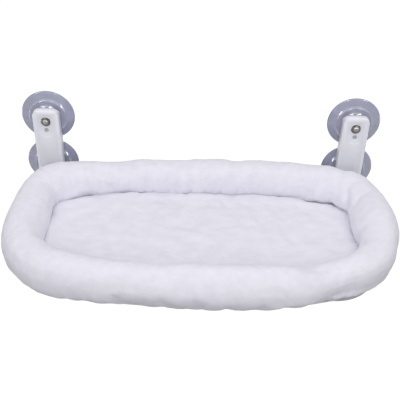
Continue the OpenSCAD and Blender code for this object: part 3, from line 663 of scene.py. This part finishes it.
# Zip: it closes the slit near the sling's rear edge, through which the tubes go in. Two woven
# tapes are sewn under the slit's edges; moulded teeth run on them, and a zinc slider with a pull.
zip_y, zip_z, zip_half = -0.112, -0.0683, 0.190
tooth_pitch, tooth_l, tooth_w, tooth_t = 0.004, 0.0022, 0.0024, 0.0013
tooth_start, tooth_away, tooth_round = 0.002, 0.00165, 0.0003
tape_w, tape_round, metal_round = 0.012, 0.00015, 0.0002
tape_colour, tooth_colour, zinc_colour = (0.58, 0.58, 0.62), (0.66, 0.66, 0.69), (0.5, 0.5, 0.51)
tape_cloth = woven("zip_tape_cloth", tape_colour, 0.0006)
tapes = cad_copy("zip_tapes", "zip_tape_pair")
rounded_edges(tapes, tape_round, 1)
dressed(tapes, tape_cloth, "bed", "zip_cloth", "zip_tapes")

tooth_plastic = moulded_plastic("zip_tooth_plastic", tooth_colour, 0.4)
rows = []
for row, shift in ((-1, 0.0), (1, tooth_pitch / 2)):
    bpy.ops.mesh.primitive_cube_add(size=1)
    tooth = bpy.context.object
    only(tooth)
    bpy.ops.object.mode_set(mode="EDIT")
    bpy.ops.mesh.select_all(action="SELECT")
    bpy.ops.transform.resize(value=(tooth_l, tooth_w, tooth_t), center_override=(0, 0, 0))
    bpy.ops.mesh.bevel(offset=tooth_round, segments=1)
    bpy.ops.mesh.select_all(action="SELECT")
    bpy.ops.transform.translate(
        value=(-zip_half + tooth_start + shift, zip_y + row * tooth_away, zip_z))
    bpy.ops.object.mode_set(mode="OBJECT")
    bpy.ops.object.modifier_add(type="ARRAY")
    many = tooth.modifiers[-1]
    many.use_relative_offset = False
    many.use_constant_offset = True
    many.constant_offset_displace = (tooth_pitch, 0, 0)
    many.count = int(2 * zip_half / tooth_pitch) - 1
    bpy.ops.object.modifier_apply(modifier=many.name)
    rows.append(tooth)
only(rows[0])
rows[1].select_set(True)
bpy.ops.object.join()
teeth = bpy.context.object
teeth.name = "zip_tooth_rows"
smooth_by_angle(teeth)
dressed(teeth, tooth_plastic, "bed", "zip_plastic", "zip_teeth")

zip_zinc = plated_steel("zip_zinc", zinc_colour, 0.32, 0.0009)
for node, name in (("zip_slider", "zip_slider_body"), ("zip_pull", "zip_pull_tab")):
    part = cad_copy(node, name)
    flat_faces_joined(part)
    rounded_edges(part, metal_round, 2)
    dressed(part, zip_zinc, node, "zip_metal", node)

# Hook and loop strips: four pairs between the sling and the bed, sewn along their edges, so that
# the bed comes off for washing.
strip_grey, strip_w, strip_l, strip_count = (0.55, 0.55, 0.58), 0.02, 0.1, 4
cut_pitch, cuts_each_way = 0.018, 11
strip_pile, nodes, links, shader = finish("strip_pile", strip_grey, 0.95)
loops = grain(nodes, links, 0.0009, detail=4)
mottle(nodes, links, loops, *shades(strip_grey, 0.2), shader.inputs["Base Color"])
raised(nodes, links, shader, loops, 0.0004, 0.8)
for node, name in (("hook_strips", "hook_strip_set"), ("loop_strips", "loop_strip_set")):
    strips = cad_copy(node, name)
    flat_faces_joined(strips)
    only(strips)
    bpy.ops.object.mode_set(mode="EDIT")
    bpy.ops.mesh.select_all(action="SELECT")
    for i in range(-cuts_each_way, cuts_each_way + 1):
        bpy.ops.mesh.bisect(plane_co=(i * cut_pitch, 0, 0), plane_no=(1, 0, 0))
        bpy.ops.mesh.select_all(action="SELECT")
    bpy.ops.object.mode_set(mode="OBJECT")
    for v in strips.data.vertices:
        v.co.z -= sagged(v.co.x, v.co.y, sling_sag)
    dressed(strips, strip_pile, "bed", "strip_cloth", node)

# Bed bottom: one oval piece of white non-slip cloth under the whole bed, sewn to the rim and the pad
# all round. It lies on the sling and carries the loop halves of the strips.
base_white, base_t = (0.70, 0.70, 0.74), 0.0015
base_low, base_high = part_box("bed_base")
base_cloth = woven("base_cloth", base_white, 0.0012)
base = sheet_from("bed_base", "bed_bottom_cloth", base_high.z)
for v in base.data.vertices:
    v.co.z -= sagged(v.co.x, v.co.y, sling_sag)
thickened(base, base_t)
smooth_by_angle(base)
dressed(base, base_cloth, "bed", "base_cloth", "bed_base")

# Rim: a stuffed tube of short white plush, closed by a seam across its right rear, gathered where
# it was turned along the rear, and softly uneven because its loose filling lies in lumps.
bed_x, bed_y, rim_a, rim_b = 0.0035, -0.187, 0.2575, 0.1265
rim_z, rim_half_w, bed_floor = -0.03415, 0.0274, -0.06365
rim_swell, swell_fade = 0.009, 12
rear_square, front_square = 4.1, 2.8
turn_step = 0.01
voxel, sim_frames = 0.006, 20
plush_white = (0.80, 0.79, 0.855)
clump_size, clump_height, pile_size, pile_height = 0.011, 0.0010, 0.0016, 0.0007


def rim_reach(turn):
    """Distance of the rim's centreline from the bed's middle in a direction."""
    n = rear_square if math.sin(turn) > 0 else front_square
    across = (abs(math.cos(turn)) / rim_a) ** n
    along = (abs(math.sin(turn)) / rim_b) ** n
    return (across + along) ** (-1 / n)


def rim_place(co):
    """A point's direction from the bed's middle, and how far outside the centreline it is."""
    dx, dy = co.x - bed_x, co.y - bed_y
    turn = math.atan2(dy, dx)
    before, after = turn - turn_step, turn + turn_step
    a, b = rim_reach(before), rim_reach(after)
    tangent = Vector((b * math.cos(after) - a * math.cos(before),
                      b * math.sin(after) - a * math.sin(before)))
    normal = Vector((tangent.y, -tangent.x)).normalized()
    away = math.hypot(dx, dy) - rim_reach(turn)
    return turn, away * (normal.x * math.cos(turn) + normal.y * math.sin(turn)), normal


def rim_inside(turn):
    """Width of the rim from its centreline to its inside."""
    return rim_half_w + rim_swell * abs(math.cos(turn)) ** swell_fade


def near(angle, centre, half):
    """1 at a direction, falling smoothly to 0 away from it."""
    away = (angle - centre + math.pi) % (2 * math.pi) - math.pi
    return math.exp(-(away / half) ** 2)


def outer_shell(node, name):
    """The outer skin of a CAD case, without its hollow."""
    obj = cad_copy(node, name)
    bpy.ops.object.mode_set(mode="EDIT")
    bpy.ops.mesh.select_all(action="SELECT")
    bpy.ops.mesh.separate(type="LOOSE")
    bpy.ops.object.mode_set(mode="OBJECT")
    parts = list(bpy.context.selected_objects)
    parts.sort(key=lambda o: max(v.co.x for v in o.data.vertices))
    outer = parts[-1]
    for other in parts[:-1]:
        bpy.data.objects.remove(other)
    outer.name = name
    only(outer)
    return outer


def remeshed(obj):
    """Gives a case an even mesh of voxels."""
    only(obj)
    bpy.ops.object.modifier_add(type="REMESH")
    remesh = obj.modifiers[-1]
    remesh.mode = "VOXEL"
    remesh.voxel_size = voxel
    bpy.ops.object.modifier_apply(modifier=remesh.name)


def blown_up(obj, pressure, growth, cap, held):
    """Cloth simulation of a filled case: it swells, but no point moves further than the cap."""
    only(obj)
    rest = [v.co.copy() for v in obj.data.vertices]
    pin = obj.vertex_groups.new(name="held")
    for i, co in enumerate(rest):
        pin.add([i], held(co), "REPLACE")
    bpy.ops.object.modifier_add(type="CLOTH")
    cloth = obj.modifiers[-1]
    settings = cloth.settings
    settings.quality = 2
    settings.mass = 0.3
    settings.tension_stiffness = 12
    settings.compression_stiffness = 12
    settings.shear_stiffness = 5
    settings.bending_stiffness = 1.2
    settings.use_pressure = True
    settings.uniform_pressure_force = pressure
    settings.shrink_min = -growth
    settings.vertex_group_mass = "held"
    settings.effector_weights.gravity = 0
    cloth.collision_settings.use_collision = False
    cloth.point_cache.frame_start, cloth.point_cache.frame_end = 1, sim_frames
    for number in range(1, sim_frames + 1):
        bpy.context.scene.frame_set(number)
    graph = bpy.context.evaluated_depsgraph_get()
    moved = [v.co.copy() for v in obj.evaluated_get(graph).data.vertices]
    obj.modifiers.remove(cloth)
    bpy.context.scene.frame_set(1)
    obj.vertex_groups.clear()
    for v, start, end in zip(obj.data.vertices, rest, moved):
        shift = end - start
        if shift.length > cap:
            shift *= cap / shift.length
        v.co = start + shift


def subdivided(obj):
    """Rounds a mesh by one level of subdivision."""
    only(obj)
    bpy.ops.object.modifier_add(type="SUBSURF")
    obj.modifiers[-1].levels = 1
    obj.modifiers[-1].render_levels = 1
    bpy.ops.object.modifier_apply(modifier=obj.modifiers[-1].name)
    bpy.ops.object.shade_smooth()


def plush(name, colour, lie):
    """Short plush: soft clumps of pile that lie one way, with light caught on the tips."""
    made, nodes, links, shader = finish(name, colour, 1.0)
    clumps = grain(nodes, links, clump_size, lie, 4)
    mottle(nodes, links, clumps, *shades(colour, 0.025), shader.inputs["Base Color"])
    pile = grain(nodes, links, pile_size, lie, 5)
    first = raised(nodes, links, shader, clumps, clump_height, 0.5)
    raised(nodes, links, shader, pile, pile_height, 0.55, first)
    shader.inputs["Sheen Weight"].default_value = 0.25
    shader.inputs["Sheen Roughness"].default_value = 0.5
    shader.inputs["Specular IOR Level"].default_value = 0.15
    return made


seam_turns, seam_depth, seam_half = (math.radians(30), math.radians(23)), 0.0035, 0.004
gather_depth, gather_pitch, gather_least, gather_waver = 0.0013, 0.012, 0.25, 3
lump_depth, nap_depth = 0.0009, 0.00035
# Fineness of the lumps, wavers and tufts, about as many to the metre.
lump_scale, waver_scale, nap_scale = 26, 18, 160
rim_foot, foot_fade, foot_hold, case_hold = 0.003, 0.012, 1.0, 0.05
# Folds of the inner face: their direction in degrees low and high on the rim, depth, and half
# width in metres.
folds = (
    (160, 164, 0.0030, 0.006), (10, 21, 0.0048, 0.0045), (3, 14, 0.0044, 0.0042), (-8, -2, 0.0025, 0.006),
)
# Bulges and dents of the outline: direction in degrees, outwards in metres, half width in degrees.
bulges = (
    (-172, -0.0018, 7), (-150, 0.0042, 7), (-135, 0.0013, 9), (-118, -0.0031, 9), (-35, -0.0125, 8),
    (-22, -0.0060, 8), (-10, -0.0052, 7), (3, 0.0029, 8), (112, -0.0039, 14), (135, -0.0063, 8),
    (156, 0.0060, 6), (172, -0.0018, 6), (27, 0.0072, 6),
)
inner_least = 0.2
# The rim's outer side hangs down a little in front.
front_droop, droop_turn, droop_half = 0.0052, math.radians(-82), math.radians(34)
droop_start, droop_fade = 0.006, 0.016

rim_plush = plush("rim_plush", plush_white, (1, 1, 0.6))
rim = outer_shell("rim_cover", "stuffed_rim")
remeshed(rim)
blown_up(rim, pressure=4.0, growth=0.03, cap=0.004,
         held=lambda co: foot_hold if co.z < bed_floor + rim_foot else case_hold)
for v in rim.data.vertices:
    turn, outside, normal = rim_place(v.co)
    up = math.atan2(v.co.z - rim_z, outside)
    out = Vector((normal.x * math.cos(up), normal.y * math.cos(up), math.sin(up)))
    lift = clipped((v.co.z - bed_floor) / foot_fade)
    run = turn * rim_reach(turn)
    push = lump_depth * noise.noise(v.co * lump_scale)
    rear = max(0, math.sin(turn)) ** 0.5
    inner = max(0, -math.cos(up))
    waver = gather_waver * noise.noise(v.co * waver_scale)
    push += gather_depth * rear * (gather_least + inner) * math.sin(
        2 * math.pi * v.co.x / gather_pitch + waver)
    seam_turn = seam_turns[0] + (seam_turns[1] - seam_turns[0]) * (1 - math.cos(up)) / 2
    push -= seam_depth * near(run, seam_turn * rim_reach(seam_turn), seam_half)
    for at_low, at_high, depth, half in folds:
        at = math.radians(at_low + (at_high - at_low) * (1 + math.sin(up)) / 2)
        push -= depth * inner ** 0.5 * near(run, at * rim_reach(at), half)
    for at, far, half in bulges:
        push += far * near(turn, math.radians(at), math.radians(half)) * max(inner_least, 1 - inner)
    v.co += out * push * lift
    hang = clipped((outside - droop_start) / droop_fade) * near(turn, droop_turn, droop_half)
    v.co.z -= front_droop * hang
subdivided(rim)
for v in rim.data.vertices:
    v.co += v.normal * nap_depth * noise.noise(v.co * nap_scale)
dressed(rim, rim_plush, "bed", "rim_plush", "rim_cover", "rim_filling")

# Pad: a case of the same plush round a thin layer of polyester filling, sewn in at the foot of the
# rim. It is blown up by the filling, lies flat below and wrinkles lengthwise on top.
edge_w, groove_w, edge_start, join_depth = 0.016, 0.005, 0.004, 0.0012
front_rise, rear_rise, corner_rise = 0.0115, 0.0015, 0.002
open_turn, open_half = math.radians(14), math.radians(24)
wave_height, fine_height = 0.0016, 0.0007
pad_foot, pad_fade, pad_hold = 0.004, 0.006, 0.15
probe = 0.05

pad_plush = plush("pad_plush", plush_white, (0.5, 1, 1))
pad = outer_shell("pad_cover", "pad_case")
remeshed(pad)
blown_up(pad, pressure=3.0, growth=0.02, cap=0.004,
         held=lambda co: foot_hold if co.z < bed_floor + pad_foot else pad_hold)


def above_floor(z):
    """0 at the pad's flat bottom, 1 from a little above it."""
    return clipped((z - bed_floor - pad_foot) / pad_fade)


for v in pad.data.vertices:
    turn, outside, normal = rim_place(v.co)
    inwards = max(0, -outside - rim_inside(turn))
    rise = front_rise + (rear_rise - front_rise) * clipped(2 * math.sin(turn))
    rise += (corner_rise - rise) * near(turn, open_turn, open_half)
    wave = ripple(v.co, 9, 46, 0.7)
    fine = ripple(v.co, 22, 90, 5.2)
    lift = rise * math.exp(-inwards / edge_w) + wave_height * wave + fine_height * fine
    v.co.z += lift * above_floor(v.co.z)
subdivided(pad)

# The edge is pulled out to the rim, where the two are sewn together.
rim_shell = BVHTree.FromObject(rim, bpy.context.evaluated_depsgraph_get())
for v in pad.data.vertices:
    turn, outside, normal = rim_place(v.co)
    inwards = max(0, -outside - rim_inside(turn) - edge_start)
    open_share = max(clipped(2 * math.sin(turn)), near(turn, open_turn, open_half))
    reach_w = edge_w + (groove_w - edge_w) * open_share
    if inwards < reach_w:
        out = Vector((normal.x, normal.y, 0))
        found = rim_shell.ray_cast(v.co - out * probe, out)[3]
        if found is not None:
            gap = max(0, found - probe + join_depth - inwards)
            v.co += out * gap * (1 - inwards / reach_w) * above_floor(v.co.z)
dressed(pad, pad_plush, "bed", "pad_plush", "pad_cover", "pad_filling")
